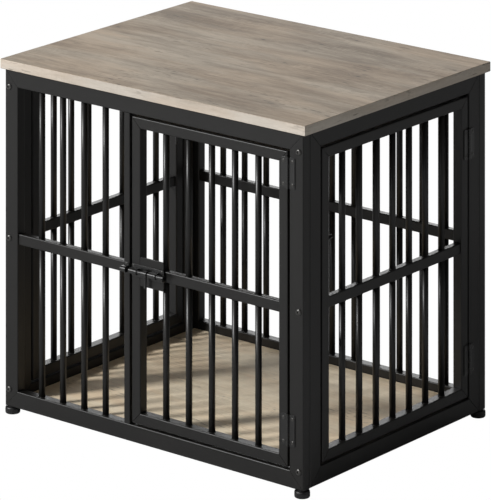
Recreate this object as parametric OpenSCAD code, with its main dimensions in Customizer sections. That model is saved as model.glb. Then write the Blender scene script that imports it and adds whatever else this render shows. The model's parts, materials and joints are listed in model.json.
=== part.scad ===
// Furniture-style dog crate: mitred tube-steel panels with round bars, one front door and
// two side doors, a wood-grain table top and a wood-grain floor board.
// Millimetres, +Z up. The front faces -Y. The origin is on the floor under the middle of the frame.
//
// Every panel is drawn in panel space: x runs along the panel from its middle, the outer face is
// y = 0 with +y inwards, and z starts at the bottom of the steel frame. on_panel() stands the
// drawing up on one of the four sides.

/* [Table top] */
// Length of the table top, left to right
top_l = 720; // [700:1:900]
// Depth of the table top, front to back
top_d = 556; // [548:1:700]
// Thickness of the table top
top_t = 18; // [16:1:25]

/* [Steel frame] */
// Width of the frame, left to right
frame_w = 704; // [690:1:880]
// Depth of the frame, front to back
frame_d = 546; // [530:1:690]
// Height of the frame, without the feet
frame_h = 625; // [600:1:750]
// Face width of the outer frame tubes
tube_face = 31; // [28:1:36]
// Depth of every tube, across the panel
tube_depth = 20; // [20:1:25]
// Wall thickness of the tubes
wall = 1.2; // [1:0.1:2]
// Face width of the front mullion
mullion_w = 14; // [14:1:20]
// Distance from the middle of the crate to the mullion's middle
mullion_offset = 55; // [50:1:60]

/* [Bars] */
// Outer diameter of the round bars, which are tubes
bar_dia = 12; // [8:0.5:12]
// Wall thickness of the bars
bar_wall = 1; // [0.8:0.1:1.5]
// Number of bars in the fixed part of the front
fixed_bars = 4; // [3:1:5]
// Number of bars in the front door
front_door_bars_n = 5; // [4:1:6]
// Number of bars in each side door
side_door_bars_n = 7; // [5:1:8]
// Number of bars in the back panel
back_bars_n = 11; // [9:1:12]
// Height of the middle rails
mid_rail_h = 20; // [16:1:24]
// Depth of the middle rails
mid_rail_d = 14; // [13:1:16]

/* [Doors] */
// Face width of the door tubes
door_face = 20; // [20:1:24]
// Gap round a door
door_gap = 4; // [4:0.5:5]
// Gap beside the front door's latch
latch_gap = 5; // [4:0.5:6]
// Heights of the front door's hinges above the bottom of the frame
front_hinge_z = [101, 553];
// Heights of the side doors' hinges above the bottom of the frame
side_hinge_z = [105, 502];

/* [Hinges] */
// Height of a hinge
hinge_h = 55; // [50:1:60]
// Width of one leaf, from the pin
leaf_w = 15; // [14:0.5:16]
// Thickness of a leaf
leaf_t = 1.5; // [1:0.1:1.5]
// Radius of the hinge pin
pin_r = 1.25; // [1:0.05:1.3]
// Height between a leaf's two screws
hinge_screw_pitch = 41; // [36:1:44]

/* [Latches] */
// Height of the front latch above the bottom of the frame
front_latch_z = 313; // [310:1:316]
// Height of the side latches above the bottom of the frame
side_latch_z = 415; // [380:1:450]
// Diameter of a latch's sliding rod
rod_dia = 7; // [6:0.5:7]
// Travel of the rod from open to locked
rod_travel = 12; // [10:0.5:12]

/* [Floor board and feet] */
// Height of the floor board's upper face above the bottom of the frame
floor_top_z = 15; // [14:1:20]
// Thickness of the floor board
floor_t = 9; // [6:1:9]
// Visible height of a foot
foot_h = 14; // [10:1:20]
// Diameter of a foot's pad
foot_dia = 28; // [20:1:30]

/* [Hidden] */
$fn = 48;

steel = [0.16, 0.16, 0.155];
hardware = [0.12, 0.12, 0.12];
zinc = [0.62, 0.62, 0.6];
greige = [0.60, 0.56, 0.51];
oak = [0.70, 0.63, 0.53];
rubber = [0.08, 0.08, 0.08];

// Cutters run past the solids they cut by this much
over = 1;

// Panels: half the distance between opposite panels' outer faces, and half of each panel's length
half_w = frame_w / 2;
half_d = frame_d / 2;
front_half = half_w;
side_half = half_d - tube_depth;

// Bars stand in the middle of the tubes' depth and stop at the middle rail
bar_r = bar_dia / 2;
mid_z = frame_h / 2;
mid_lo = mid_z - mid_rail_h / 2;
mid_hi = mid_z + mid_rail_h / 2;
mid_rail_y = (tube_depth - mid_rail_d) / 2;
opening_lo = tube_face;
opening_hi = frame_h - tube_face;

// Door outlines in panel space
door_lo = opening_lo + door_gap;
door_hi = opening_hi - door_gap;
mullion_x0 = -mullion_offset - mullion_w / 2;
mullion_x1 = -mullion_offset + mullion_w / 2;
front_door_x0 = mullion_x1 + latch_gap;
front_door_x1 = front_half - tube_face - door_gap;
side_door_x1 = side_half - tube_face - door_gap;
side_door_x0 = -side_door_x1;

// Hinges: the pin stands in front of the gap
knuckle_r = pin_r * 2;
knuckle_clear = 0.4;
running_clear = 0.05;
knuckles = 5;
knuckle_gap = 0.4;
hinge_screw_x = 10;
front_pin_x = front_door_x1 + door_gap / 2;
side_pin_x = side_door_x1 + door_gap / 2;
pin_head_h = 1;

// Screws: [head radius, head height, shank radius, shank length]
hinge_screw = [3, 0.8, 1.7, 6];
latch_screw = [2.1, 0.8, 1.2, 4.4];
screw_clear = 0.1;

// Latches: latch space has its mounting face at y = 0, -y outwards, the rod along x at rod_off
rod_r = rod_dia / 2;
rod_off = 8;
base_t = 1.5;
base_h = 22;
strap_bore_r = rod_r + 0.3;
strap_r = strap_bore_r + 1.5;
latch_screw_z = base_h / 2 - 2.6;
front_base_x0 = front_door_x0 + 1;
front_base_l = 76;
front_strap_l = 18;
front_strap_2_x = 4;
front_rod_tip = front_door_x0 + 0.5;
front_rod_end = 41;
front_collar_x = -9.5;
collar_l = 11;
collar_r = 6;
lever_r = 2.5;
lever_l = 24;
knob_r = 6;
knob_l = 5;
latch_plate_h = 52;
latch_plate_x1 = 32;
keeper_l = 12;
front_keeper_x = mullion_x1 - keeper_l - 1;
side_keeper_x = -side_half + tube_face - keeper_l - 2;
side_base_l = door_face;
side_strap_l = 9;
side_rod_tip = side_door_x0 - 1.5;
side_rod_end = side_rod_tip + 65.5;
side_collar_x = side_door_x0 + 23;

// Corner bolts, rivet nuts, feet
bolt_in = tube_depth / 2;
bolt_z = [tube_face + 1, mid_z, frame_h - tube_face - 1];
bolt_r = 3;
bolt_head_r = 6;
bolt_head_h = 3;
bolt_l = tube_depth + 14;
rivet_r = 4.5;
rivet_l = 15;
foot_in = tube_depth / 2;
stud_r = 4;
stud_l = 26;
pad_h = foot_h - 1.5;
neck_r = 9;
nut_af = 13;
nut_h = 6.5;

// Floor board and table top fixings
board_clear = 1;
ledge_w = 14;
ledge_t = 3;
tab_l = 30;
tab_w = 20;
tab_t = 3;
tab_x = 200;
wood_screw = [4, 2.4, 1.95, 15];

// ---------------------------------------------------------------- placing

FRONT = 0;
RIGHT = 90;
BACK = 180;
LEFT = 270;

function half_of(side) = (side == FRONT || side == BACK) ? half_d : half_w;
function spaced(a, b, n) = [for (i = [1:n]) a + (b - a) * i / (n + 1)];

module on_panel(side)
    rotate([0, 0, side])
        translate([0, -half_of(side), foot_h])
            children();

// An outline in x and z becomes a slab from y = 0 to y = depth
module slab(depth)
    translate([0, depth, 0])
        rotate([90, 0, 0])
            linear_extrude(depth)
                children();

// A round rod along y, from y0 over a length
module rod_y(x, y0, z, r, length)
    translate([x, y0, z])
        rotate([-90, 0, 0])
            cylinder(r = r, h = length);

// A round rod along x
module rod_x(x0, y, z, r, length)
    translate([x0, y, z])
        rotate([0, 90, 0])
            cylinder(r = r, h = length);

// ---------------------------------------------------------------- tubes and bars

// Bottom member of a frame: hollow tube along x, both ends mitred at 45 degrees
module mitred_tube(length, face, depth) {
    difference() {
        slab(depth)
            polygon([[0, 0], [length, 0], [length - face, face], [face, face]]);
        translate([0, wall, 0])
            slab(depth - 2 * wall)
                polygon([[wall - over, wall], [length - wall + over, wall],
                    [length - face + wall + over, face - wall], [face - wall - over, face - wall]]);
    }
}

module frame_rails(x0, x1, z0, z1, face) {
    translate([x0, 0, z0])
        mitred_tube(x1 - x0, face, tube_depth);
    translate([x0, 0, z1])
        mirror([0, 0, 1])
            mitred_tube(x1 - x0, face, tube_depth);
}

module frame_posts(x0, x1, z0, z1, face) {
    translate([x1, 0, z0])
        rotate([0, -90, 0])
            mitred_tube(z1 - z0, face, tube_depth);
    translate([x0, 0, z0])
        mirror([1, 0, 0])
            rotate([0, -90, 0])
                mitred_tube(z1 - z0, face, tube_depth);
}

// Square-cut hollow tube standing on z
module upright(x0, w, z0, z1)
    difference() {
        translate([x0, 0, z0])
            cube([w, tube_depth, z1 - z0]);
        translate([x0 + wall, wall, z0 - over])
            cube([w - 2 * wall, tube_depth - 2 * wall, z1 - z0 + 2 * over]);
    }

// Square-cut hollow middle rail from x0 to x1
module mid_rail(x0, x1)
    difference() {
        translate([x0, mid_rail_y, mid_lo])
            cube([x1 - x0, mid_rail_d, mid_rail_h]);
        translate([x0 - over, mid_rail_y + wall, mid_lo + wall])
            cube([x1 - x0 + 2 * over, mid_rail_d - 2 * wall, mid_rail_h - 2 * wall]);
    }

// One round bar, open at both ends
module bar(x, z0, z1)
    translate([x, tube_depth / 2, z0])
        linear_extrude(z1 - z0)
            difference() {
                circle(r = bar_r);
                circle(r = bar_r - bar_wall);
            }

// Bars between a and b, split by the middle rail
module bars(a, b, n, z0, z1)
    for (x = spaced(a, b, n)) {
        bar(x, z0, mid_lo);
        bar(x, mid_hi, z1);
    }

// ---------------------------------------------------------------- outer frames

module bolt_holes(r, y0, length)
    for (x = [-1, 1] * (front_half - bolt_in), z = bolt_z)
        rod_y(x, y0, z, r, length);

module foot_holes(half)
    for (x = [-1, 1] * (half - foot_in))
        translate([x, foot_in, -over])
            cylinder(r = stud_r + 0.4, h = wall + 2 * over);

// Holes in a post for its hinge leaves' screws
module post_screw_holes(pin_x, heights)
    for (z = heights, s = [-1, 1] * hinge_screw_pitch / 2)
        rod_y(pin_x + hinge_screw_x, -over, z + s, hinge_screw[2] + screw_clear, wall + 2 * over);

module end_posts(side, hinged)
    on_panel(side)
        color(steel)
            difference() {
                frame_posts(-front_half, front_half, 0, frame_h, tube_face);
                bolt_holes(bolt_r + 0.3, -over, tube_depth + 2 * over);
                if (hinged) post_screw_holes(front_pin_x, front_hinge_z);
            }

module end_rails(side)
    on_panel(side)
        color(steel)
            difference() {
                frame_rails(-front_half, front_half, 0, frame_h, tube_face);
                foot_holes(front_half);
            }

module side_posts(side)
    on_panel(side)
        color(steel)
            difference() {
                frame_posts(-side_half, side_half, 0, frame_h, tube_face);
                for (x = [-side_half, side_half], z = bolt_z)
                    translate([x, 0, 0])
                        rod_x(-wall - over, bolt_in, z, rivet_r, 2 * (wall + over));
                post_screw_holes(side_pin_x, side_hinge_z);
                for (s = [-1, 1] * latch_screw_z)
                    rod_y(side_keeper_x + keeper_l / 2, tube_depth - wall - over, side_latch_z + s,
                        latch_screw[2] + screw_clear, wall + 2 * over);
            }

module side_rails(side)
    on_panel(side)
        color(steel)
            frame_rails(-side_half, side_half, 0, frame_h, tube_face);

module front_posts() end_posts(FRONT, true);
module front_rails() end_rails(FRONT);
module back_posts() end_posts(BACK, false);
module back_rails() end_rails(BACK);
module right_posts() side_posts(RIGHT);
module right_rails() side_rails(RIGHT);
module left_posts() side_posts(LEFT);
module left_rails() side_rails(LEFT);

module front_mullion()
    on_panel(FRONT)
        color(steel)
            difference() {
                upright(mullion_x0, mullion_w, opening_lo, opening_hi);
                for (s = [-1, 1] * latch_screw_z)
                    rod_y(front_keeper_x + keeper_l / 2, -over, front_latch_z + s,
                        latch_screw[2] + screw_clear, wall + 2 * over);
            }

module front_mid_rail()
    on_panel(FRONT)
        color(steel)
            mid_rail(-front_half + tube_face, mullion_x0);

module front_bars()
    on_panel(FRONT)
        color(steel)
            bars(-front_half + tube_face, mullion_x0, fixed_bars, opening_lo, opening_hi);

module back_mid_rail()
    on_panel(BACK)
        color(steel)
            mid_rail(-front_half + tube_face, front_half - tube_face);

module back_bars()
    on_panel(BACK)
        color(steel)
            bars(-front_half + tube_face, front_half - tube_face, back_bars_n, opening_lo, opening_hi);

// ---------------------------------------------------------------- boards

module table_top()
    color(greige)
        difference() {
            translate([-top_l / 2, -top_d / 2, foot_h + frame_h])
                cube([top_l, top_d, top_t]);
            at_tabs()
                translate([0, 0, -over])
                    cylinder(r = wood_screw[2] + 0.05, h = wood_screw[3] - tab_t + over);
        }

// Each tab's screw axis, at the underside of the table top
module at_tabs() {
    for (x = [-tab_x, tab_x], s = [-1, 1])
        translate([x, s * (side_half - tab_w / 2), foot_h + frame_h])
            children();
    for (s = [-1, 1])
        translate([s * (half_w - tube_depth - tab_w / 2), 0, foot_h + frame_h])
            children();
}

module top_tabs()
    color(steel)
        difference() {
            union() {
                for (x = [-tab_x, tab_x], s = [-1, 1])
                    translate([x - tab_l / 2, s * (side_half - tab_w / 2) - tab_w / 2,
                        foot_h + frame_h - tab_t])
                        cube([tab_l, tab_w, tab_t]);
                for (s = [-1, 1])
                    translate([s * (half_w - tube_depth - tab_w / 2) - tab_w / 2, -tab_l / 2,
                        foot_h + frame_h - tab_t])
                        cube([tab_w, tab_l, tab_t]);
            }
            at_tabs()
                translate([0, 0, -tab_t - over])
                    cylinder(r = wood_screw[2] + 0.3, h = tab_t + 2 * over);
        }

module top_screws()
    color(zinc)
        at_tabs()
            translate([0, 0, -tab_t]) {
                translate([0, 0, -wood_screw[1]])
                    cylinder(r = wood_screw[0], h = wood_screw[1]);
                cylinder(r = wood_screw[2], h = wood_screw[3] - 0.2);
            }

module floor_board() {
    length = frame_w - 2 * tube_depth - 2 * board_clear;
    depth = frame_d - 2 * tube_depth - 2 * board_clear;
    color(oak)
        translate([-length / 2, -depth / 2, foot_h + floor_top_z - floor_t])
            cube([length, depth, floor_t]);
}

// Strips welded inside the bottom rails, which carry the floor board
module floor_ledges() {
    z = floor_top_z - floor_t - ledge_t;
    end_l = 600;
    side_l = 440;
    color(steel) {
        for (side = [FRONT, BACK])
            on_panel(side)
                translate([-end_l / 2, tube_depth, z])
                    cube([end_l, ledge_w, ledge_t]);
        for (side = [RIGHT, LEFT])
            on_panel(side)
                translate([-side_l / 2, tube_depth, z])
                    cube([side_l, ledge_w, ledge_t]);
    }
}

// ---------------------------------------------------------------- corner fasteners and feet

module corner_bolts()
    color(hardware)
        for (side = [FRONT, BACK])
            on_panel(side)
                for (x = [-1, 1] * (front_half - bolt_in), z = bolt_z) {
                    difference() {
                        rod_y(x, -bolt_head_h, z, bolt_head_r, bolt_head_h);
                        // hexagon socket
                        translate([x, -bolt_head_h - over, z])
                            rotate([-90, 0, 0])
                                cylinder(r = 2.3, h = 1.8 + over, $fn = 6);
                    }
                    rod_y(x, 0, z, bolt_r, bolt_l);
                }

module rivet_nuts()
    color(zinc)
        for (side = [FRONT, BACK])
            on_panel(side)
                for (x = [-1, 1] * (front_half - bolt_in), z = bolt_z)
                    difference() {
                        union() {
                            rod_y(x, tube_depth, z, rivet_r, rivet_l);
                            rod_y(x, tube_depth + wall, z, rivet_r + 1, 3);
                        }
                        rod_y(x, tube_depth - over, z, bolt_r + running_clear, rivet_l + 2 * over);
                    }

module foot_nuts()
    color(zinc)
        for (side = [FRONT, BACK])
            on_panel(side)
                for (x = [-1, 1] * (front_half - foot_in))
                    translate([x, foot_in, wall])
                        difference() {
                            cylinder(d = nut_af / cos(30), h = nut_h, $fn = 6);
                            translate([0, 0, -over])
                                cylinder(r = stud_r + running_clear, h = nut_h + 2 * over);
                        }

// Levelling foot: pad, neck and threaded stud in one
module foot(sx, sy)
    color(rubber)
        translate([sx * (half_w - foot_in), sy * (half_d - foot_in), 0]) {
            cylinder(d = foot_dia, h = pad_h);
            translate([0, 0, pad_h])
                cylinder(r = neck_r, h = foot_h - pad_h);
            translate([0, 0, foot_h])
                cylinder(r = stud_r, h = stud_l);
        }

module foot_front_left() foot(-1, -1);
module foot_front_right() foot(1, -1);
module foot_back_left() foot(-1, 1);
module foot_back_right() foot(1, 1);

// ---------------------------------------------------------------- hinges

// Height of one knuckle, and where knuckle i starts
knuckle_h = hinge_h / knuckles;
function knuckle_z(i) = -hinge_h / 2 + i * knuckle_h;

// One leaf round its pin, reaching along +x; own lists its knuckles and bore is their radius
module leaf(own, bore)
    difference() {
        union() {
            translate([knuckle_r + knuckle_clear, knuckle_r - leaf_t, -hinge_h / 2])
                cube([leaf_w - knuckle_r - knuckle_clear, leaf_t, hinge_h]);
            for (i = own)
                translate([0, 0, knuckle_z(i) + knuckle_gap / 2])
                    linear_extrude(knuckle_h - knuckle_gap) {
                        circle(r = knuckle_r);
                        translate([0, knuckle_r - leaf_t])
                            square([knuckle_r + knuckle_clear + 0.1, leaf_t]);
                    }
        }
        translate([0, 0, -hinge_h])
            cylinder(r = bore, h = 2 * hinge_h);
        for (s = [-1, 1] * hinge_screw_pitch / 2)
            rod_y(hinge_screw_x, 0, s, hinge_screw[2] + screw_clear, knuckle_r + over);
    }

// Places a hinge's pin in panel space
module at_hinges(pin_x, heights)
    for (z = heights)
        translate([pin_x, -knuckle_r, z])
            children();

module post_leaves(pin_x, heights)
    at_hinges(pin_x, heights)
        leaf([0, 2, 4], pin_r);

module door_leaves(pin_x, heights)
    at_hinges(pin_x, heights)
        mirror([1, 0, 0])
            leaf([1, 3], pin_r + running_clear);

module hinge_post_leaves()
    color(hardware) {
        on_panel(FRONT) post_leaves(front_pin_x, front_hinge_z);
        on_panel(RIGHT) post_leaves(side_pin_x, side_hinge_z);
        on_panel(LEFT) post_leaves(side_pin_x, side_hinge_z);
    }

module pins(pin_x, heights)
    at_hinges(pin_x, heights) {
        translate([0, 0, -hinge_h / 2])
            cylinder(r = pin_r, h = hinge_h);
        translate([0, 0, hinge_h / 2])
            cylinder(r = knuckle_r - 0.3, h = pin_head_h);
    }

module hinge_pins()
    color(hardware) {
        on_panel(FRONT) pins(front_pin_x, front_hinge_z);
        on_panel(RIGHT) pins(side_pin_x, side_hinge_z);
        on_panel(LEFT) pins(side_pin_x, side_hinge_z);
    }

// A screw along +y with its head's underside at y = 0; spec is one of the lists above
module screw(spec)
    union() {
        rod_y(0, -spec[1], 0, spec[0], spec[1]);
        rod_y(0, 0, 0, spec[2], spec[3]);
    }

// Screws of the leaves on one side of the pins
module leaf_screws(pin_x, heights, dir)
    for (z = heights, s = [-1, 1] * hinge_screw_pitch / 2)
        translate([pin_x + dir * hinge_screw_x, -leaf_t, z + s])
            screw(hinge_screw);

module hinge_post_screws()
    color(hardware) {
        on_panel(FRONT) leaf_screws(front_pin_x, front_hinge_z, 1);
        on_panel(RIGHT) leaf_screws(side_pin_x, side_hinge_z, 1);
        on_panel(LEFT) leaf_screws(side_pin_x, side_hinge_z, 1);
    }

// ---------------------------------------------------------------- latches

// Front latches sit on the outer face; side latches sit on the inner face of their panel
module on_front_latch()
    on_panel(FRONT)
        translate([0, 0, front_latch_z])
            children();

module on_side_latch(side)
    on_panel(side)
        translate([0, tube_depth, side_latch_z])
            mirror([0, 1, 0])
                children();

// Guide block round the rod, from x0 over a length, standing on a base plate
module strap(x0, length)
    translate([x0, 0, 0])
        rotate([90, 0, 90])
            linear_extrude(length)
                difference() {
                    union() {
                        translate([-rod_off, 0])
                            circle(r = strap_r);
                        translate([-rod_off, -strap_r])
                            square([rod_off - base_t, 2 * strap_r]);
                    }
                    translate([-rod_off, 0])
                        circle(r = strap_bore_r);
                }

module base_plate(x0, length, screw_xs)
    difference() {
        translate([x0, -base_t, -base_h / 2])
            cube([length, base_t, base_h]);
        for (x = screw_xs, s = [-1, 1] * latch_screw_z)
            rod_y(x, -base_t - over, s, latch_screw[2] + screw_clear, base_t + 2 * over);
    }

module keeper(x0)
    union() {
        base_plate(x0, keeper_l, [x0 + keeper_l / 2]);
        strap(x0, keeper_l);
    }

module latch_screws(xs)
    for (x = xs, s = [-1, 1] * latch_screw_z)
        translate([x, -base_t, s])
            screw(latch_screw);

module latch_rod(tip, end) {
    rod_x(tip, -rod_off, 0, rod_r, end - tip);
}

// Collar round the rod with its hanging lever
module latch_handle(x0) {
    difference() {
        union() {
            rod_x(x0, -rod_off, 0, collar_r, collar_l);
            translate([x0 + collar_l / 2, -rod_off, -lever_l])
                cylinder(r = lever_r, h = lever_l - rod_r - 1);
            translate([x0 + collar_l / 2, -rod_off, -lever_l])
                sphere(r = lever_r + 0.6);
        }
        rod_x(x0 - over, -rod_off, 0, rod_r + running_clear, collar_l + 2 * over);
    }
}

front_base_screws = [front_base_x0 + 4, front_base_x0 + front_base_l - 5];
side_base_screws = [side_door_x0 + door_face - 5];

module front_keeper()
    on_front_latch()
        color(hardware)
            keeper(front_keeper_x);

module side_keepers()
    color(hardware)
        for (side = [RIGHT, LEFT])
            on_side_latch(side)
                keeper(side_keeper_x);

module keeper_screws()
    color(hardware) {
        on_front_latch()
            latch_screws([front_keeper_x + keeper_l / 2]);
        for (side = [RIGHT, LEFT])
            on_side_latch(side)
                latch_screws([side_keeper_x + keeper_l / 2]);
    }

module front_latch_base()
    on_front_latch()
        color(hardware)
            union() {
                base_plate(front_base_x0, front_base_l, front_base_screws);
                strap(front_base_x0 + 1, front_strap_l);
                strap(front_strap_2_x, front_strap_l);
            }

module front_latch_rod()
    on_front_latch()
        color(hardware)
            union() {
                latch_rod(front_rod_tip, front_rod_end);
                rod_x(front_rod_end - knob_l, -rod_off, 0, knob_r, knob_l);
            }

module front_latch_handle()
    on_front_latch()
        color(hardware)
            latch_handle(front_collar_x);

module side_latch_base(side)
    on_side_latch(side)
        color(hardware)
            union() {
                base_plate(side_door_x0, side_base_l, side_base_screws);
                strap(side_door_x0 + 1, side_strap_l);
            }

module side_latch_rod(side)
    on_side_latch(side)
        color(hardware)
            latch_rod(side_rod_tip, side_rod_end);

module side_latch_handle(side)
    on_side_latch(side)
        color(hardware)
            latch_handle(side_collar_x);

module right_latch_base() side_latch_base(RIGHT);
module right_latch_rod() side_latch_rod(RIGHT);
module right_latch_handle() side_latch_handle(RIGHT);
module left_latch_base() side_latch_base(LEFT);
module left_latch_rod() side_latch_rod(LEFT);
module left_latch_handle() side_latch_handle(LEFT);

// ---------------------------------------------------------------- front door

module front_door_stiles()
    on_panel(FRONT)
        color(steel)
            difference() {
                frame_posts(front_door_x0, front_door_x1, door_lo, door_hi, door_face);
                for (z = front_hinge_z, s = [-1, 1] * hinge_screw_pitch / 2)
                    rod_y(front_pin_x - hinge_screw_x, -over, z + s,
                        hinge_screw[2] + screw_clear, wall + 2 * over);
                for (s = [-1, 1] * latch_screw_z)
                    rod_y(front_base_screws[0], -over, front_latch_z + s,
                        latch_screw[2] + screw_clear, wall + 2 * over);
            }

module front_door_rails()
    on_panel(FRONT)
        color(steel)
            frame_rails(front_door_x0, front_door_x1, door_lo, door_hi, door_face);

module front_door_mid_rail()
    on_panel(FRONT)
        color(steel)
            mid_rail(front_door_x0 + door_face, front_door_x1 - door_face);

module front_door_bars()
    on_panel(FRONT)
        color(steel)
            bars(front_door_x0 + door_face, front_door_x1 - door_face, front_door_bars_n,
                door_lo + door_face, door_hi - door_face);

// Flat plate welded beside the stile, flush with its face, which carries the latch
module front_latch_plate()
    on_panel(FRONT)
        color(steel)
            difference() {
                translate([front_door_x0 + door_face, 0, mid_z - latch_plate_h / 2])
                    cube([latch_plate_x1 - front_door_x0 - door_face, mid_rail_y, latch_plate_h]);
                for (s = [-1, 1] * latch_screw_z)
                    rod_y(front_base_screws[1], -over, front_latch_z + s,
                        latch_screw[2] + screw_clear, mid_rail_y + 2 * over);
            }

module front_hinge_door_leaves()
    on_panel(FRONT)
        color(hardware)
            door_leaves(front_pin_x, front_hinge_z);

module front_door_screws()
    color(hardware) {
        on_panel(FRONT)
            leaf_screws(front_pin_x, front_hinge_z, -1);
        on_front_latch()
            latch_screws(front_base_screws);
    }

// ---------------------------------------------------------------- side doors

module side_door_stiles(side)
    on_panel(side)
        color(steel)
            difference() {
                frame_posts(side_door_x0, side_door_x1, door_lo, door_hi, door_face);
                for (z = side_hinge_z, s = [-1, 1] * hinge_screw_pitch / 2)
                    rod_y(side_pin_x - hinge_screw_x, -over, z + s,
                        hinge_screw[2] + screw_clear, wall + 2 * over);
                for (s = [-1, 1] * latch_screw_z)
                    rod_y(side_base_screws[0], tube_depth - wall - over, side_latch_z + s,
                        latch_screw[2] + screw_clear, wall + 2 * over);
            }

module side_door_rails(side)
    on_panel(side)
        color(steel)
            frame_rails(side_door_x0, side_door_x1, door_lo, door_hi, door_face);

module side_door_mid_rail(side)
    on_panel(side)
        color(steel)
            mid_rail(side_door_x0 + door_face, side_door_x1 - door_face);

module side_door_bars(side)
    on_panel(side)
        color(steel)
            bars(side_door_x0 + door_face, side_door_x1 - door_face, side_door_bars_n,
                door_lo + door_face, door_hi - door_face);

module side_door_leaves(side)
    on_panel(side)
        color(hardware)
            door_leaves(side_pin_x, side_hinge_z);

module side_door_screws(side)
    color(hardware) {
        on_panel(side)
            leaf_screws(side_pin_x, side_hinge_z, -1);
        on_side_latch(side)
            latch_screws(side_base_screws);
    }

module right_door_stiles() side_door_stiles(RIGHT);
module right_door_rails() side_door_rails(RIGHT);
module right_door_mid_rail() side_door_mid_rail(RIGHT);
module right_door_bars() side_door_bars(RIGHT);
module right_hinge_door_leaves() side_door_leaves(RIGHT);
module right_door_screws() side_door_screws(RIGHT);
module left_door_stiles() side_door_stiles(LEFT);
module left_door_rails() side_door_rails(LEFT);
module left_door_mid_rail() side_door_mid_rail(LEFT);
module left_door_bars() side_door_bars(LEFT);
module left_hinge_door_leaves() side_door_leaves(LEFT);
module left_door_screws() side_door_screws(LEFT);

// ---------------------------------------------------------------- nodes

front_posts();
front_rails();
front_mullion();
front_mid_rail();
front_bars();
back_posts();
back_rails();
back_mid_rail();
back_bars();
right_posts();
right_rails();
left_posts();
left_rails();
table_top();
floor_board();
floor_ledges();
top_tabs();
top_screws();
corner_bolts();
rivet_nuts();
foot_nuts();
hinge_post_leaves();
hinge_pins();
hinge_post_screws();
front_keeper();
side_keepers();
keeper_screws();
front_door_stiles();
front_door_rails();
front_door_mid_rail();
front_door_bars();
front_latch_plate();
front_hinge_door_leaves();
front_latch_base();
front_door_screws();
front_latch_rod();
front_latch_handle();
right_door_stiles();
right_door_rails();
right_door_mid_rail();
right_door_bars();
right_hinge_door_leaves();
right_latch_base();
right_door_screws();
right_latch_rod();
right_latch_handle();
left_door_stiles();
left_door_rails();
left_door_mid_rail();
left_door_bars();
left_hinge_door_leaves();
left_latch_base();
left_door_screws();
left_latch_rod();
left_latch_handle();
foot_front_left();
foot_front_right();
foot_back_left();
foot_back_right();
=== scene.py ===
"""Looks of a steel dog crate with a table top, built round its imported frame.

The file is laid out as an add-on with one operator for each kind of piece, and it is run as a
script. Panel space is the CAD's: x runs along a panel as seen from outside, y inwards from its
outer face, z up.
"""

import json
import math

import bmesh
import bpy
from bpy.props import FloatProperty, FloatVectorProperty, PointerProperty
from bpy.types import Operator, Panel, PropertyGroup
from mathutils import Matrix, Vector


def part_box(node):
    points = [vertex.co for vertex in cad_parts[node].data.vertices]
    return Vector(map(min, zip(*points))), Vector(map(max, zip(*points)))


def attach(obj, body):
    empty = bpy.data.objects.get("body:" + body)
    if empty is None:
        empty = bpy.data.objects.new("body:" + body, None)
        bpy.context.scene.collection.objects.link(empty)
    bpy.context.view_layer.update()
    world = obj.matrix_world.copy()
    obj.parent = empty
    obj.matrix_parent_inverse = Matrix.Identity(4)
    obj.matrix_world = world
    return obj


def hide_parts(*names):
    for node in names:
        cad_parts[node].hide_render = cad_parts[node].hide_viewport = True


bl_info = {
    "name": "Dog Crate Looks",
    "version": (1, 0, 0),
    "blender": (4, 5, 0),
    "location": "3D View > Sidebar > Dog Crate",
    "description": "Builds the tubes, bars, boards, hinges, latches and feet of a dog crate",
    "category": "Add Mesh",
}

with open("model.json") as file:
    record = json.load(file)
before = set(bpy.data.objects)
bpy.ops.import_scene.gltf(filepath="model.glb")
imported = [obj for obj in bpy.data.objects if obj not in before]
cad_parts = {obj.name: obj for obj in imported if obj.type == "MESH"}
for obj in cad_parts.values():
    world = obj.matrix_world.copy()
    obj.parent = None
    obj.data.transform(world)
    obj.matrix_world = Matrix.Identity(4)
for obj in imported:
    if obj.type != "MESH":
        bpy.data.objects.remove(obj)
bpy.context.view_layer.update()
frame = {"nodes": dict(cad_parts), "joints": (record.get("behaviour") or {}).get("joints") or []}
MM = 0.001

SIDES = {"front": 0, "right": 90, "back": 180, "left": 270}
DOORS = ("front", "right", "left")
BAR_ROWS = {
    "front_bars": ("front", "front_mid_rail", 4, "crate"),
    "back_bars": ("back", "back_mid_rail", 11, "crate"),
    "front_door_bars": ("front", "front_door_mid_rail", 5, "front_door"),
    "right_door_bars": ("right", "right_door_mid_rail", 7, "right_door"),
    "left_door_bars": ("left", "left_door_mid_rail", 7, "left_door"),
}


# ------------------------------------------------------------------ settings


def size_property(name, description, default, least, most):
    """A small length; the sizes are in millimetres."""
    return FloatProperty(
        name=name, description=description, default=default * MM, min=least * MM, max=most * MM,
        precision=5, subtype="DISTANCE", unit="LENGTH",
    )


def colour_property(name, description, default):
    return FloatVectorProperty(
        name=name, description=description, default=default, size=3, min=0, max=1, subtype="COLOR"
    )


def power_property(name, description, default):
    return FloatProperty(name=name, description=description, default=default, min=0, unit="POWER")


class CrateSizes(PropertyGroup):
    """Small sizes that only the looks need"""

    tube_fillet: size_property("Tube Fillet", "Radius of the tubes' long edges", 2.2, 0.3, 3.0)
    seam: size_property("Mitre Seam", "Width of the groove where two tubes meet", 0.32, 0.1, 1.0)
    weld_bead: size_property("Weld Bead", "Size of the bead round each bar's ends", 0.9, 0.2, 3.0)
    board_edge: size_property("Board Edge", "Rounding of the boards' edges", 0.9, 0.2, 4.0)
    hardware_edge: size_property("Hardware Edge", "Rounding of hinges and latches", 0.35, 0.05, 1.0)


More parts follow.
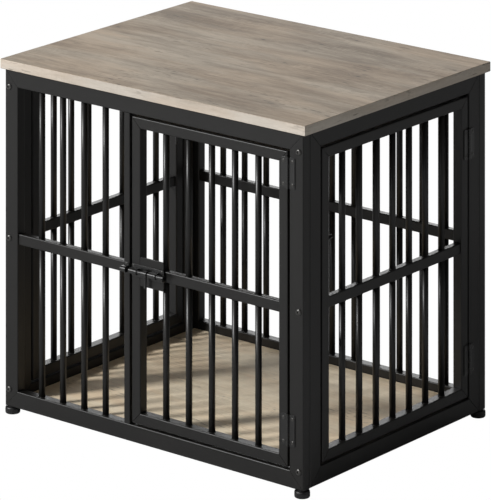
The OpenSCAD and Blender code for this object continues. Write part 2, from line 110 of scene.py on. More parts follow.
class CrateColours(PropertyGroup):
    """Colours of the finishes, in linear light"""

    steel: colour_property("Steel", "Powder coat on the tubes and bars", (0.0054, 0.0050, 0.0044))
    hardware: colour_property("Hardware", "Paint on hinges and latches", (0.0045, 0.0044, 0.0042))
    zinc: colour_property("Zinc", "Plating on nuts and studs", (0.50, 0.50, 0.48))
    plastic: colour_property("Plastic", "Moulded feet", (0.0045, 0.0045, 0.0045))
    top_light: colour_property("Top Light", "Light grain of the table top", (0.468, 0.394, 0.306))
    top_dark: colour_property("Top Dark", "Dark grain of the table top", (0.208, 0.162, 0.115))
    # The edge band's colours are lighter than the top's: partly the band's own colour, partly
    # painted light for the light falling on the front edge
    edge_light_with_painted_light: colour_property("Edge Light", "Light grain of the top's edge", (0.57, 0.52, 0.455))
    edge_dark_with_painted_light: colour_property("Edge Dark", "Dark grain of the top's edge", (0.40, 0.352, 0.295))
    floor_light: colour_property("Floor Light", "Light grain of the floor", (0.88, 0.77, 0.58))
    floor_dark: colour_property("Floor Dark", "Dark grain of the floor", (0.64, 0.53, 0.38))


class CrateStudio(PropertyGroup):
    """Camera, lamps and backdrop"""

    key_power: power_property("Key Power", "Lamp at the front left", 905)
    front_power: power_property("Front Power", "Broad lamp in front", 20)
    side_power: power_property("Side Power", "Broad lamp on the right", 8)
    rear_power: power_property("Rear Power", "High lamp behind", 60)
    fill: FloatProperty(
        name="Fill", description="Brightness of the room all round", default=0.085, min=0
    )
    backdrop: FloatProperty(
        name="Backdrop", description="Brightness of the backdrop as seen", default=1.0, min=0
    )


def settings():
    return bpy.context.scene.dog_crate_sizes


def colours():
    return bpy.context.scene.dog_crate_colours


# ------------------------------------------------------------------ node graphs


class Number:
    """A number in a node tree, with arithmetic that adds the tree's Math nodes."""

    def __init__(self, graph, socket):
        self.graph = graph
        self.socket = socket

    def _math(self, operation, first, second):
        node = self.graph.add("ShaderNodeMath", {"operation": operation}, {0: first, 1: second})
        return Number(self.graph, node.outputs[0])

    def __add__(self, other):
        return self._math("ADD", self, other)

    __radd__ = __add__

    def __sub__(self, other):
        return self._math("SUBTRACT", self, other)

    def __rsub__(self, other):
        return self._math("SUBTRACT", other, self)

    def __mul__(self, other):
        return self._math("MULTIPLY", self, other)

    __rmul__ = __mul__


class Graph:
    """A node tree being built: add() makes its nodes, and other methods name common ones."""

    def __init__(self, tree):
        self.tree = tree

    def add(self, kind, node_settings=None, sockets=None):
        node = self.tree.nodes.new(kind)
        for key, value in (node_settings or {}).items():
            if key == "stops":
                self._stops(node.color_ramp, value)
            else:
                setattr(node, key, value)
        for key, value in (sockets or {}).items():
            self.feed(self._socket(node.inputs, key), value)
        return node

    def feed(self, socket, value):
        if isinstance(value, Number):
            value = value.socket
        if isinstance(value, bpy.types.Node):
            value = value.outputs[0]
        if isinstance(value, bpy.types.NodeSocket):
            self.tree.links.new(value, socket)
        else:
            socket.default_value = value

    @staticmethod
    def _socket(sockets, key):
        if isinstance(key, int):
            return sockets[key]
        for socket in sockets:
            if socket.identifier == key:
                return socket
        return sockets[key]

    @staticmethod
    def _stops(ramp, stops):
        while len(ramp.elements) < len(stops):
            ramp.elements.new(0.5)
        for element, (position, colour) in zip(ramp.elements, stops):
            element.position = position
            element.color = (*colour, 1.0)

    # shader nodes

    def noise(self, vector, scale, detail=2.0, roughness=0.5, distortion=0.0):
        node = self.add(
            "ShaderNodeTexNoise",
            {"noise_dimensions": "3D"},
            {"Vector": vector, "Scale": scale, "Detail": detail, "Roughness": roughness,
             "Distortion": distortion},
        )
        return Number(self, node.outputs["Fac"])

    def stretched(self, vector, scale, shift=(0.0, 0.0, 0.0)):
        """Coordinates scaled by a different amount along each axis."""
        return self.add("ShaderNodeMapping", {},
                        {"Vector": vector, "Scale": scale, "Location": shift})

    def between(self, value, low, high, to_low=0.0, to_high=1.0):
        """Value remapped smoothly from low..high."""
        node = self.add(
            "ShaderNodeMapRange",
            {"interpolation_type": "SMOOTHSTEP"},
            {"Value": value, "From Min": low, "From Max": high,
             "To Min": to_low, "To Max": to_high},
        )
        return Number(self, node.outputs["Result"])

    def mix(self, factor, first, second, blend="MIX"):
        node = self.add(
            "ShaderNodeMix",
            {"data_type": "RGBA", "blend_type": blend, "clamp_factor": True},
            {"Factor_Float": factor, "A_Color": first, "B_Color": second},
        )
        return self._socket(node.outputs, "Result_Color")

    def bump(self, height, strength, distance):
        node = self.add(
            "ShaderNodeBump", {}, {"Height": height, "Strength": strength, "Distance": distance}
        )
        return node.outputs["Normal"]

    def attribute(self, name):
        node = self.add("ShaderNodeAttribute", {"attribute_name": name})
        return Number(self, node.outputs["Fac"])


def rgba(colour, gain=1.0):
    return (*(min(1.0, channel * gain) for channel in colour), 1.0)


def new_material(name):
    """A material with a Principled shader: (material, graph, shader, object coordinates)."""
    material = bpy.data.materials.new(name)
    material.use_nodes = True
    graph = Graph(material.node_tree)
    shader = material.node_tree.nodes["Principled BSDF"]
    spot = graph.add("ShaderNodeTexCoord").outputs["Object"]
    return material, graph, shader, spot


# ------------------------------------------------------------------ finishes


def dress(graph, shader, colour, roughness, normal, fixed=None):
    """Links what changes over a surface, and sets what doesn't on the shader's own sockets."""
    for label, value in (("Base Color", colour), ("Roughness", roughness), ("Normal", normal)):
        graph.feed(shader.inputs[label], value)
    for label, value in (fixed or {}).items():
        shader.inputs[label].default_value = value


def powder_coat():
    """Satin powder coat: fine orange peel, slow drift in tone, and painted shade darkening the
    mitre grooves.
    """
    material, graph, shader, spot = new_material("powder_coat")
    steel = colours().steel
    drift = graph.noise(spot, 7.0, 3.0, 0.6)
    peel = graph.noise(spot, 950.0, 2.0, 0.5)
    grit = graph.noise(spot, 2600.0, 1.0, 0.5)
    seam = graph.attribute("seam")
    tone = graph.mix(graph.between(drift, 0.3, 0.7), rgba(steel, 0.86), rgba(steel, 1.16))
    flecked = graph.mix(graph.between(grit, 0.62, 0.8) * 0.35, tone, rgba(steel, 2.2))
    # painted shade: the colour is darkened in the mitre grooves, where shade falls
    colour = graph.mix(seam * 0.6, flecked, rgba(steel, 0.25))
    dress(graph, shader, colour, 0.32 + 0.10 * drift + 0.06 * peel + 0.2 * seam,
          graph.bump(peel + 0.3 * grit, 0.16, 0.25 * MM), {"Specular IOR Level": 0.45})
    return material


def hardware_paint():
    """Semi-gloss black enamel over pressed steel, with faint lighter scuffs scattered over it."""
    material, graph, shader, spot = new_material("hardware_paint")
    base = colours().hardware
    drift = graph.noise(spot, 60.0, 3.0, 0.6)
    peel = graph.noise(spot, 1500.0, 2.0, 0.5)
    scuffs = graph.noise(graph.stretched(spot, (400.0, 400.0, 2600.0)), 1.0, 3.0, 0.7)
    tone = graph.mix(graph.between(drift, 0.3, 0.7), rgba(base, 0.8), rgba(base, 1.5))
    worn = graph.between(scuffs, 0.6, 0.82) * 0.25
    dress(graph, shader, graph.mix(worn, tone, rgba(base, 6.0)), 0.25 + 0.12 * drift + 0.1 * worn,
          graph.bump(peel, 0.12, 0.12 * MM),
          {"Coat Weight": 0.35, "Coat Roughness": 0.18, "Specular IOR Level": 0.45})
    return material


def black_oxide():
    """Blackened steel of the screws and bolts."""
    material, graph, shader, spot = new_material("black_oxide")
    base = colours().hardware
    grain = graph.noise(spot, 900.0, 3.0, 0.6)
    dress(graph, shader, graph.mix(grain, rgba(base, 10.0), rgba(base, 26.0)), 0.26 + 0.2 * grain,
          graph.bump(grain, 0.15, 0.1 * MM), {"Metallic": 0.75})
    return material


def zinc_plate():
    """Zinc-plated nuts, studs and wood screws, clouded and lightly scratched."""
    material, graph, shader, spot = new_material("zinc_plate")
    base = colours().zinc
    cloud = graph.noise(spot, 140.0, 4.0, 0.65)
    scratch = graph.noise(graph.stretched(spot, (900.0, 900.0, 90.0)), 1.0, 3.0, 0.6)
    colour = graph.mix(graph.between(cloud, 0.3, 0.75), rgba(base, 0.72), rgba(base, 1.25))
    dress(graph, shader, colour, 0.24 + 0.22 * cloud + 0.08 * scratch,
          graph.bump(scratch, 0.1, 0.08 * MM), {"Metallic": 1.0})
    return material


def moulded_plastic():
    """Black moulded plastic with a spark-eroded grain and scuffed, dusty sides."""
    material, graph, shader, spot = new_material("moulded_plastic")
    base = colours().plastic
    grain = graph.noise(spot, 1800.0, 2.0, 0.6)
    dust = graph.noise(spot, 120.0, 4.0, 0.65)
    dusty = graph.mix(graph.between(dust, 0.5, 0.85) * 0.5, rgba(base), rgba(base, 3.5))
    dress(graph, shader, dusty, 0.3 + 0.25 * dust, graph.bump(grain, 0.25, 0.12 * MM))
    return material


def printed_wood(name, light, dark, knots, contrast=1.0, wraps=False):
    """Wood-grain laminate: soft patches, streaks, fibres, short dark checks and small knots.

    The grain runs along X, and on an edge band, which wraps round a corner, along Y too.
    """
    material, graph, shader, spot = new_material(name)

    def grain(source, along, across, shift=(0.0, 0.0, 0.0)):
        return graph.stretched(source, (along, along if wraps else across, across), shift)

    sway = graph.noise(grain(spot, 3.0, 6.0), 1.0, 2.0, 0.5)
    aside = (sway - 0.5) * 0.022
    push = graph.add("ShaderNodeCombineXYZ", {}, {"Y": aside, "Z": aside})
    bent = graph.add("ShaderNodeVectorMath", {"operation": "ADD"}, {0: spot, 1: push})

    # a knot darkens its middle and pushes the streaks round it
    cells = graph.add(
        "ShaderNodeTexVoronoi",
        {"voronoi_dimensions": "2D", "feature": "F1", "distance": "EUCLIDEAN"},
        {"Vector": grain(bent, 7.0, 17.0, (0.37, 0.11, 0.0)), "Scale": 1.0},
    )
    away = Number(graph, cells.outputs["Distance"])
    channels = graph.add("ShaderNodeSeparateColor", {}, {0: cells.outputs["Color"]})
    chance = Number(graph, channels.outputs[0])
    is_knot = graph.between(chance, 1.0 - knots, 1.0 - knots + 0.02)
    eye = graph.between(away, 0.01, 0.06, 1.0, 0.0) * is_knot
    halo = graph.between(away, 0.03, 0.30, 1.0, 0.0) * is_knot
    round_knot = graph.add("ShaderNodeCombineXYZ", {}, {"Y": halo * 0.008, "Z": halo * 0.008})
    grain_spot = graph.add("ShaderNodeVectorMath", {"operation": "ADD"}, {0: bent, 1: round_knot})

    patches = graph.noise(grain(grain_spot, 2.6, 9.0), 1.0, 3.0, 0.55, 0.4)
    bands = graph.noise(grain(grain_spot, 3.4, 26.0, (1.0, 0.0, 5.0)), 1.0, 5.0, 0.62, 0.3)
    streaks = graph.noise(grain(grain_spot, 13.0, 95.0, (3.0, 0.0, 0.0)), 1.0, 6.0, 0.72)
    fibres = graph.noise(grain(grain_spot, 55.0, 780.0), 1.0, 3.0, 0.6)
    pores = graph.noise(grain(grain_spot, 75.0, 900.0, (0.0, 2.0, 0.0)), 1.0, 2.0, 0.6)

    # short dark checks along the grain, in places only, and faint saw marks across it
    checks = graph.noise(grain(grain_spot, 34.0, 210.0, (5.0, 1.0, 0.0)), 1.0, 2.0, 0.5)
    checked = graph.noise(grain(spot, 6.0, 15.0, (2.0, 7.0, 0.0)), 1.0, 2.0, 0.5)
    checked = graph.between(checked, 0.48, 0.66)
    check = graph.between(checks, 0.57, 0.66) * checked
    marks = graph.noise(grain(spot, 430.0, 60.0), 1.0, 2.0, 0.5)
    marked = graph.noise(grain(spot, 6.0, 13.0, (9.0, 4.0, 0.0)), 1.0, 2.0, 0.5)
    marked = graph.between(marked, 0.52, 0.66)

    tone = 0.5 + contrast * (
        (patches - 0.5) * 1.35 + (bands - 0.5) * 1.3 + (streaks - 0.5) * 1.2
        + (fibres - 0.5) * 0.7 + (marks - 0.5) * marked * 0.7
    )
    middle = [0.5 * a + 0.5 * b for a, b in zip(dark, light)]
    toned = graph.add(
        "ShaderNodeValToRGB", {"stops": [(0.12, dark), (0.48, middle), (0.85, light)]},
        {"Fac": tone},
    ).outputs["Color"]
    hue = graph.noise(grain(spot, 3.0, 14.0, (6.0, 3.0, 1.0)), 1.0, 3.0, 0.55)
    warm = graph.between(hue, 0.38, 0.62) * 0.9
    tinted = graph.mix(warm, toned, (1.0, 0.925, 0.86, 1.0), "MULTIPLY")
    pored = graph.mix(graph.between(pores, 0.60, 0.74) * 0.3, tinted, rgba(dark, 0.62))
    cracked = graph.mix(check * 0.75, pored, rgba(dark, 0.42))
    haloed = graph.mix(halo * 0.3, cracked, rgba(dark, 0.8))
    colour = graph.mix(eye * 0.8, haloed, rgba(dark, 0.25))
    height = fibres * 0.6 + streaks * 0.4 + marks * marked * 0.3 - eye * 0.5 - check * 0.5
    dress(graph, shader, colour, 0.56 + 0.14 * streaks + 0.06 * fibres,
          graph.bump(height, 0.22, 0.18 * MM), {"Specular IOR Level": 0.26})
    return material


def finish_of(name):
    """The material of that name, made the first time it is asked for."""
    tint = colours()
    makers = {
        "powder_coat": powder_coat,
        "hardware_paint": hardware_paint,
        "black_oxide": black_oxide,
        "zinc_plate": zinc_plate,
        "moulded_plastic": moulded_plastic,
        "table_laminate": lambda: printed_wood(
            "table_laminate", tint.top_light, tint.top_dark, knots=0.24),
        # the edge band's lighter colours are partly painted light, lightening all the narrow faces
        # for the light on the front edge
        "table_edge_band": lambda: printed_wood(
            "table_edge_band", tint.edge_light_with_painted_light, tint.edge_dark_with_painted_light, knots=0.0, contrast=0.8,
            wraps=True),
        "floor_laminate": lambda: printed_wood(
            "floor_laminate", tint.floor_light, tint.floor_dark, knots=0.08, contrast=0.85),
    }
    return bpy.data.materials.get(name) or makers[name]()


# ------------------------------------------------------------------ places


def panel_matrix(side):
    """Panel space to the row frame, for one side."""
    low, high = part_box(f"{side}_posts")
    reach = {"front": -low.y, "right": high.x, "back": high.y, "left": -low.x}[side]
    turn = Matrix.Rotation(math.radians(SIDES[side]), 4, "Z")
    return turn @ Matrix.Translation((0, -reach, 0))


def box_in(space, node):
    """A node's lowest and highest corners in a matrix's space."""
    back = space.inverted()
    corners = [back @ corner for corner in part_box(node)]
    return tuple(Vector([pick(axis) for axis in zip(*corners)]) for pick in (min, max))


def panel_box(node, side):
    """A node's lowest and highest corners in a side's panel space."""
    return box_in(panel_matrix(side), node)


def hinge_heights(side):
    """Height of the middle of each of a door's two hinges."""
    low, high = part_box(f"{side}_hinge_door_leaves")
    return low.z + HINGE_H / 2, high.z - HINGE_H / 2


def hinge_pin(side):
    """A door's pin axis in panel space, at the hinge's joint."""
    joint = next(j for j in frame["joints"] if j["name"] == f"{side}_door_hinge")
    return panel_matrix(side).inverted() @ Vector(joint["pos_m"])


# ------------------------------------------------------------------ mesh tools

SHARP_ANGLE = math.radians(38)
NARROW_SEAM, WIDE_SEAM = 1.0, 2.0  # times the mitre seam's set width


def plain_object(name, bm, finishes, bevel=0.0, segments=2, turn_outwards=True):
    """A finished object from a bmesh: doubles merged, edges rounded, flat faces kept flat."""
    bmesh.ops.remove_doubles(bm, verts=bm.verts, dist=1e-7)
    if turn_outwards:
        bmesh.ops.recalc_face_normals(bm, faces=bm.faces)
    for face in bm.faces:
        face.smooth = True
    mesh = bpy.data.meshes.new(name)
    bm.to_mesh(mesh)
    bm.free()
    mesh.set_sharp_from_angle(angle=SHARP_ANGLE)
    rough = bpy.data.objects.new(f"{name}_rough", mesh)
    bpy.context.scene.collection.objects.link(rough)
    for finish in finishes:
        mesh.materials.append(finish_of(finish))
    if bevel:
        rounding = rough.modifiers.new("rounding", "BEVEL")
        rounding.width = bevel
        rounding.segments = segments
        rounding.limit_method = "ANGLE"
        rounding.angle_limit = SHARP_ANGLE
        rounding.use_clamp_overlap = True
    weighting = rough.modifiers.new("flat_faces", "WEIGHTED_NORMAL")
    weighting.keep_sharp = not bevel
    weighting.weight = 100
    return settled(rough, name)


def settled(rough, name):
    """The evaluated object as a plain mesh at the origin; the rough object is removed."""
    graph = bpy.context.evaluated_depsgraph_get()
    mesh = bpy.data.meshes.new_from_object(rough.evaluated_get(graph), depsgraph=graph)
    mesh.name = name
    bpy.data.objects.remove(rough)
    piece = bpy.data.objects.new(name, mesh)
    bpy.context.scene.collection.objects.link(piece)
    return piece


def place(piece, body, slot, *nodes):
    """The piece rides on its body and stands for its CAD nodes, which it hides; slot is not used.
    """
    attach(piece, body)
    if nodes:
        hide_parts(*nodes)


def loft(bm, rings, close=False):
    """Quads between rings of equal length; capped at both ends, or closed into a loop."""
    following = rings[1:] + rings[:1] if close else rings[1:]
    for first, second in zip(rings, following):
        for i in range(len(first)):
            j = (i + 1) % len(first)
            bm.faces.new((first[i], first[j], second[j], second[i]))
    if not close:
        bm.faces.new(rings[0])
        bm.faces.new(rings[-1])


def rounded_outline(width, height, radius, steps=4, inset=0.0):
    """Points of a rounded rectangle from (0, 0) to (width, height), anticlockwise."""
    radius = max(radius - inset, 0.05 * MM)
    points = []
    for corner_x, corner_y, start in (
        (width - inset - radius, inset + radius, -90),
        (width - inset - radius, height - inset - radius, 0),
        (inset + radius, height - inset - radius, 90),
        (inset + radius, inset + radius, 180),
    ):
        for step in range(steps + 1):
            angle = math.radians(start + 90 * step / steps)
            points.append((corner_x + radius * math.cos(angle),
                           corner_y + radius * math.sin(angle)))
    return points


def tube(bm, matrix, length, face, depth, mitred, open_seam=NARROW_SEAM):
    """A square tube along x, its face across y and its depth along z, with a groove at each end."""
    fillet, seam = settings().tube_fillet, settings().seam * open_seam
    # the groove rings are marked "seam", which the powder coat darkens as painted shade
    layer = bm.verts.layers.float.get("seam") or bm.verts.layers.float.new("seam")
    rings = []
    for far_end, in_groove in ((False, True), (False, False), (True, False), (True, True)):
        ring = []
        for across, deep in rounded_outline(face, depth, fillet, inset=seam if in_groove else 0.0):
            along = (across if mitred else 0.0) + (0.0 if in_groove else seam)
            if far_end:
                along = length - along
            vert = bm.verts.new(matrix @ Vector((along, across, deep)))
            vert[layer] = 1.0 if in_groove else 0.0
            ring.append(vert)
        rings.append(ring)
    loft(bm, rings)


def tube_matrix(side, origin, along, across):
    """Tube space to the row frame: where it starts, which way it runs, which way its face goes."""
    columns = (Vector(along), Vector(across), Vector((0, 1, 0)))
    turned = Matrix([[column[row] for column in columns] for row in range(3)]).to_4x4()
    return panel_matrix(side) @ Matrix.Translation(origin) @ turned


RIGHTWARDS, UPWARDS = (1, 0, 0), (0, 0, 1)
LEFTWARDS, DOWNWARDS = (-1, 0, 0), (0, 0, -1)


def mitred_pair(name, side, node, upright, face, open_seam):
    """A frame's two posts or two rails as one piece; open_seam widens the mitre grooves."""
    low, high = panel_box(node, side)
    if upright:
        along, length = UPWARDS, high.z - low.z
        starts = ((low, RIGHTWARDS), ((high.x, low.y, low.z), LEFTWARDS))
    else:
        along, length = RIGHTWARDS, high.x - low.x
        starts = ((low, UPWARDS), ((low.x, low.y, high.z), DOWNWARDS))
    bm = bmesh.new()
    for start, across in starts:
        matrix = tube_matrix(side, start, along, across)
        tube(bm, matrix, length, face, high.y - low.y, True, open_seam)
    return plain_object(name, bm, ["powder_coat"])


def frame_tubes(stem, side, uprights, body, face, open_seam):
    """The uprights and the rails of one frame."""
    for kind, upright in ((uprights, True), ("rail", False)):
        node = f"{stem}_{kind}s"
        pair = mitred_pair(f"{stem}_{kind}_tubes", side, node, upright, face, open_seam)
        place(pair, body, "frame_steel", node)


def straight_tube(node, side, body, upright=False):
    """One square-cut tube."""
    low, high = panel_box(node, side)
    wide, deep, tall = high - low
    bm = bmesh.new()
    if upright:
        tube(bm, tube_matrix(side, low, UPWARDS, RIGHTWARDS), tall, wide, deep, False)
    else:
        tube(bm, tube_matrix(side, low, RIGHTWARDS, UPWARDS), wide, tall, deep, False)
    place(plain_object(f"{node}_tube", bm, ["powder_coat"]), body, "frame_steel", node)


def in_mm(*rings):
    """Rings for a stack, with their heights and radii given in millimetres."""
    return [(z * MM, radius * MM) for z, radius in rings]


def ring_of(bm, matrix, points):
    return [bm.verts.new(matrix @ Vector(point)) for point in points]


def stack(bm, matrix, rings, segments=32):
    """Rings round the z axis: (z, radius), where radius is a number or a function of the angle."""
    made = []
    for z, radius in rings:
        points = []
        for i in range(segments):
            angle = math.tau * i / segments
            reach = radius(angle) if callable(radius) else radius
            points.append((reach * math.cos(angle), reach * math.sin(angle), z))
        made.append(ring_of(bm, matrix, points))
    loft(bm, made)


def hexagon(radius):
    """Radius of a hexagon's outline at an angle; radius is to its corners."""
    def reach(angle):
        wedge = (angle + math.pi / 6) % (math.pi / 3) - math.pi / 6
        return radius * math.cos(math.pi / 6) / math.cos(math.pi / 6 - abs(wedge))
    return reach


def cross(arm, core):
    """Radius of a cross recess's outline at an angle."""
    def reach(angle):
        wedge = abs((angle + math.pi / 4) % (math.pi / 2) - math.pi / 4)
        return arm if wedge < math.radians(14) else core
    return reach


def along_x(x, y, z):
    """Turns the z axis of a stack to x, starting at a point."""
    return Matrix.Translation((x, y, z)) @ Matrix.Rotation(math.pi / 2, 4, "Y")


def plate(bm, matrix, width, height, thickness, radius):
    """A flat plate with rounded corners: width along x, height along y, thickness along z."""
    outline = rounded_outline(width, height, radius)
    loft(bm, [ring_of(bm, matrix, [(x, y, z) for x, y in outline]) for z in (0.0, thickness)])


def box_frame(origin):
    """Plate space to panel space: width along x, height along z, thickness outwards along -y."""
    return Matrix.Translation(origin) @ Matrix.Rotation(math.pi / 2, 4, "X")


# ------------------------------------------------------------------ geometry nodes


def new_tree(name, inputs):
    """A geometry tree with named inputs: (tree, graph, {input name: socket}, output node)."""
    tree = bpy.data.node_groups.new(name, "GeometryNodeTree")
    tree.interface.new_socket("Geometry", in_out="OUTPUT", socket_type="NodeSocketGeometry")
    for label, kind in inputs.items():
        tree.interface.new_socket(label, in_out="INPUT", socket_type=kind)
    graph = Graph(tree)
    taken = graph.add("NodeGroupInput")
    given = graph.add("NodeGroupOutput")
    return tree, graph, {label: taken.outputs[label] for label in inputs}, given


def finish_tree(graph, geometry, given, out):
    """Ends a tree: its instances made real, and its finish set."""
    real = graph.add("GeometryNodeRealizeInstances", {}, {"Geometry": geometry})
    painted = graph.add("GeometryNodeSetMaterial", {},
                        {"Geometry": real, "Material": given["Finish"]})
    graph.feed(out.inputs[0], painted)


def run_tree(name, tree, mesh, values):
    """Runs a tree as a modifier on a mesh and returns the result as a plain object."""
    rough = bpy.data.objects.new(f"{name}_rough", mesh)
    bpy.context.scene.collection.objects.link(rough)
    modifier = rough.modifiers.new("tree", "NODES")
    modifier.node_group = tree
    for item in tree.interface.items_tree:
        if item.in_out == "INPUT" and item.name in values:
            modifier[item.identifier] = values[item.name]
    return settled(rough, name)


def bar_tree():
    """Two rows of upright bars, one under the other, each bar with a weld bead at both ends."""
    tree, graph, given, out = new_tree("bar_rows", {
        "Bars": "NodeSocketInt", "First": "NodeSocketVector", "Pitch": "NodeSocketFloat",
        "Lower Length": "NodeSocketFloat", "Upper Start": "NodeSocketFloat",
        "Upper Length": "NodeSocketFloat", "Radius": "NodeSocketFloat", "Bead": "NodeSocketFloat",
        "Finish": "NodeSocketMaterial",
    })
    radius, bead = Number(graph, given["Radius"]), Number(graph, given["Bead"])
    step = graph.add("ShaderNodeCombineXYZ", {}, {"X": given["Pitch"]})
    rows = graph.add("GeometryNodeJoinGeometry")
    lower, upper = (given["Lower Length"], 0.0), (given["Upper Length"], given["Upper Start"])
    for length, raised in (lower, upper):
        tall = Number(graph, length)
        lift = graph.add("ShaderNodeCombineXYZ", {}, {"Z": tall * 0.5})
        shaft = graph.add("GeometryNodeMeshCylinder", {"fill_type": "NGON"},
                          {"Vertices": 32, "Radius": given["Radius"], "Depth": length})
        smooth = graph.add("GeometryNodeSetShadeSmooth", {},
                           {"Geometry": shaft.outputs["Mesh"], "Selection": shaft.outputs["Side"]})
        stood = graph.add("GeometryNodeTransform", {}, {"Geometry": smooth, "Translation": lift})
        cone = graph.add("GeometryNodeMeshCone", {"fill_type": "NGON"}, {
            "Vertices": 32, "Radius Top": radius * 1.001, "Radius Bottom": radius + bead,
            "Depth": bead})
        soft = graph.add("GeometryNodeSetShadeSmooth", {},
                         {"Geometry": cone.outputs["Mesh"], "Selection": cone.outputs["Side"]})
        top_at = graph.add("ShaderNodeCombineXYZ", {}, {"Z": tall})
        upper_bead = graph.add("GeometryNodeTransform", {}, {
            "Geometry": soft, "Translation": top_at, "Rotation": (math.pi, 0.0, 0.0)})
        bar = graph.add("GeometryNodeJoinGeometry")
        for part in (stood, soft, upper_bead):
            graph.tree.links.new(part.outputs[0], bar.inputs[0])
        up = graph.add("ShaderNodeCombineXYZ", {}, {"Z": raised})
        start = graph.add("ShaderNodeVectorMath", {"operation": "ADD"}, {0: given["First"], 1: up})
        line = graph.add("GeometryNodeMeshLine", {"mode": "OFFSET"},
                         {"Count": given["Bars"], "Start Location": start, "Offset": step})
        row = graph.add("GeometryNodeInstanceOnPoints", {}, {"Points": line, "Instance": bar})
        graph.tree.links.new(row.outputs[0], rows.inputs[0])
    finish_tree(graph, rows, given, out)
    return tree


def copies_tree():
    """Copies of one object on marked points, each turned by the point's own rotation."""
    tree, graph, given, out = new_tree("placed_copies", {
        "Places": "NodeSocketGeometry", "Master": "NodeSocketObject", "Size": "NodeSocketFloat",
        "Finish": "NodeSocketMaterial",
    })
    master = graph.add("GeometryNodeObjectInfo", {"transform_space": "ORIGINAL"},
                       {"Object": given["Master"]})
    turn = graph.add("GeometryNodeInputNamedAttribute", {"data_type": "QUATERNION"},
                     {"Name": "turn"})
    size = graph.add("ShaderNodeCombineXYZ", {},
                     {"X": given["Size"], "Y": given["Size"], "Z": given["Size"]})
    spread = graph.add("GeometryNodeInstanceOnPoints", {}, {
        "Points": given["Places"], "Instance": master.outputs["Geometry"],
        "Rotation": turn.outputs["Attribute"], "Scale": size})
    finish_tree(graph, spread, given, out)
    return tree


def tree_of(name, maker):
    return bpy.data.node_groups.get(name) or maker()


def placed_copies(name, master, places, finish, body, *nodes, size=1.0):
    """One plain piece made of copies of the master, one at each matrix in places."""
    marks = bpy.data.meshes.new(f"{name}_places")
    marks.from_pydata([matrix.translation for matrix in places], [], [])
    turns = marks.attributes.new("turn", "QUATERNION", "POINT")
    for mark, matrix in zip(turns.data, places):
        mark.value = matrix.to_quaternion()
    piece = run_tree(name, tree_of("placed_copies", copies_tree), marks, {
        "Master": master, "Size": size, "Finish": finish_of(finish)})
    place(piece, body, "black_hardware", *nodes)


def facing(matrix, point):
    """A place in the row frame, facing outwards, from a point in the matrix's space."""
    where = matrix @ Vector(point)
    way = (matrix.to_3x3() @ Vector((0, -1, 0))).normalized()
    return Matrix.Translation(where) @ way.to_track_quat("Z", "Y").to_matrix().to_4x4()


# ------------------------------------------------------------------ operators: tubes and bars


class CRATE_OT_outer_frames(Operator):
    """Posts and rails of the four panels"""

    bl_idname = "crate.outer_frames"
    bl_label = "Outer Frames"

    def execute(self, context):
        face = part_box("front_mullion")[0].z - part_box("front_rails")[0].z
        for side in SIDES:
            open_seam = NARROW_SEAM if side == "front" else WIDE_SEAM
            frame_tubes(side, side, "post", "crate", face, open_seam)
        return {"FINISHED"}


class CRATE_OT_door_frames(Operator):
    """Stiles and rails of the three doors"""

    bl_idname = "crate.door_frames"
    bl_label = "Door Frames"

    def execute(self, context):
        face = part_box("front_door_bars")[0].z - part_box("front_door_rails")[0].z
        for side in DOORS:
            door = f"{side}_door"
            frame_tubes(door, side, "stile", door, face, WIDE_SEAM)
        return {"FINISHED"}


class CRATE_OT_middle_tubes(Operator):
    """Mullion, middle rails and the front door's latch plate"""

    bl_idname = "crate.middle_tubes"
    bl_label = "Middle Tubes"

    def execute(self, context):
        straight_tube("front_mullion", "front", "crate", upright=True)
        for side in ("front", "back"):
            straight_tube(f"{side}_mid_rail", side, "crate")
        for side in DOORS:
            straight_tube(f"{side}_door_mid_rail", side, f"{side}_door")
        low, high = panel_box("front_latch_plate", "front")
        wide, deep, tall = high - low
        bm = bmesh.new()
        matrix = panel_matrix("front") @ box_frame((low.x, high.y, low.z))
        plate(bm, matrix, wide, tall, deep, 2.5 * MM)
        plated = plain_object("front_door_latch_plate", bm, ["powder_coat"],
                              settings().hardware_edge)
        place(plated, "front_door", "frame_steel", "front_latch_plate")
        return {"FINISHED"}


class CRATE_OT_bars(Operator):
    """Rows of round bars in the panels and doors"""

    bl_idname = "crate.bars"
    bl_label = "Bars"

    def execute(self, context):
        for node, (side, rail, count, body) in BAR_ROWS.items():
            low, high = panel_box(node, side)
            rail_low, rail_high = panel_box(rail, side)
            radius = (high.y - low.y) / 2
            first = Vector((low.x + radius, low.y + radius, low.z))
            empty = bpy.data.meshes.new(node)
            row = run_tree(f"{node}_round", tree_of("bar_rows", bar_tree), empty, {
                "Bars": count, "First": first, "Pitch": (high.x - low.x - 2 * radius) / (count - 1),
                "Lower Length": rail_low.z - low.z, "Upper Start": rail_high.z - low.z,
                "Upper Length": high.z - rail_high.z, "Radius": radius,
                "Bead": settings().weld_bead, "Finish": finish_of("powder_coat"),
            })
            row.data.transform(panel_matrix(side))
            place(row, body, "frame_steel", node)
        return {"FINISHED"}


# ------------------------------------------------------------------ operators: boards


def board(name, node, finishes):
    """A rectangular board with softly rounded edges; its narrow faces take the second finish."""
    low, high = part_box(node)
    bm = bmesh.new()
    bmesh.ops.create_cube(bm, size=1.0, matrix=Matrix.Translation((low + high) / 2)
                          @ Matrix.Diagonal((*(high - low), 1.0)))
    for face in bm.faces:
        face.material_index = 0 if abs(face.normal.z) > 0.5 else len(finishes) - 1
    bmesh.ops.bevel(bm, geom=bm.edges[:], offset=settings().board_edge, segments=3, profile=0.5,
                    affect="EDGES", material=-1)
    return plain_object(name, bm, finishes)


